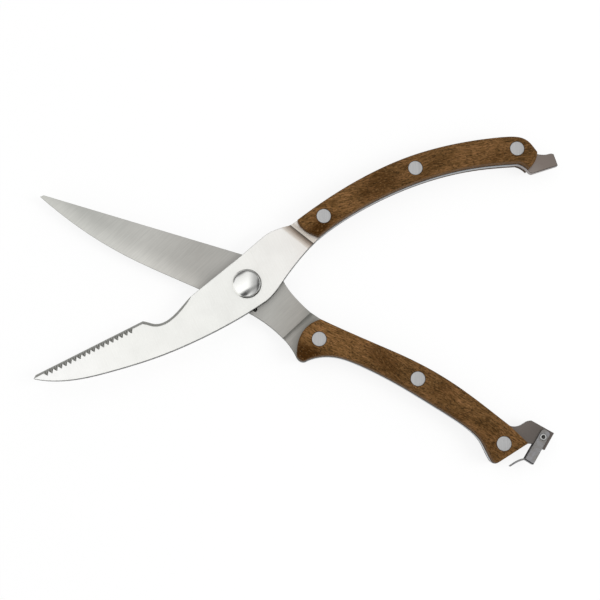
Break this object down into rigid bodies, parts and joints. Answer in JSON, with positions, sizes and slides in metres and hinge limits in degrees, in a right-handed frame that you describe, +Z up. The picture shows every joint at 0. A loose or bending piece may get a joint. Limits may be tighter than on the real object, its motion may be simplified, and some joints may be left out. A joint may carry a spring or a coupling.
{
  "type": "poultry shears",
  "caption": "Spring-opened poultry shears with a serrated, notched jaw, a plain jaw, wooden handle scales and a swinging closing latch, lying open.",
  "frame": {"origin": "bottom centre of the box round the open shears lying flat", "axes": "+X from the tips to the handles, +Z up out of the domed screw head, +Y from the plain handle to the serrated handle"},
  "size_m": [0.2338, 0.1478, 0.0124],
  "materials": {
    "blade_steel": "satin, brushed across the blade",
    "polished_steel": "polished",
    "plain_steel": "plain",
    "spring_steel": "drawn wire",
    "latch_steel": "bright strip",
    "rivet_steel": "fine satin",
    "walnut": "oiled walnut"
  },
  "bodies": {
    "serrated_half": {"serrated_blade": "blade_steel", "serrated_scale_front": "walnut", "serrated_scale_rear": "walnut", "pivot_screw": "polished_steel", "pivot_washer": "plain_steel", "pivot_nut": "polished_steel", "opening_spring": "spring_steel", "stop_pin": "plain_steel", "serrated_rivet_sleeve_1": "rivet_steel", "serrated_rivet_sleeve_2": "rivet_steel", "serrated_rivet_sleeve_3": "rivet_steel", "serrated_rivet_pin_1": "rivet_steel", "serrated_rivet_pin_2": "rivet_steel", "serrated_rivet_pin_3": "rivet_steel"},
    "plain_half": {"plain_blade": "blade_steel", "plain_scale_front": "walnut", "plain_scale_rear": "walnut", "latch_pin": "polished_steel", "plain_rivet_sleeve_1": "rivet_steel", "plain_rivet_sleeve_2": "rivet_steel", "plain_rivet_sleeve_3": "rivet_steel", "plain_rivet_pin_1": "rivet_steel", "plain_rivet_pin_2": "rivet_steel", "plain_rivet_pin_3": "rivet_steel"},
    "latch": {"latch": "latch_steel"}
  },
  "joints": [
    {"name": "pivot", "type": "hinge", "parent": "serrated_half", "child": "plain_half", "pos_m": [-0.02363, 0.00653, 0.0062], "axis": [0, 0, 1], "range_deg": [0, 47], "stiffness_Nm_per_rad": 0.35, "springref_deg": -24.64, "deforming": ["opening_spring"]},
    {"name": "latch_hinge", "type": "hinge", "parent": "plain_half", "child": "latch", "pos_m": [0.10639, -0.06104, 0.0062], "axis": [0, 0, 1], "range_deg": [0, 179]}
  ]
}
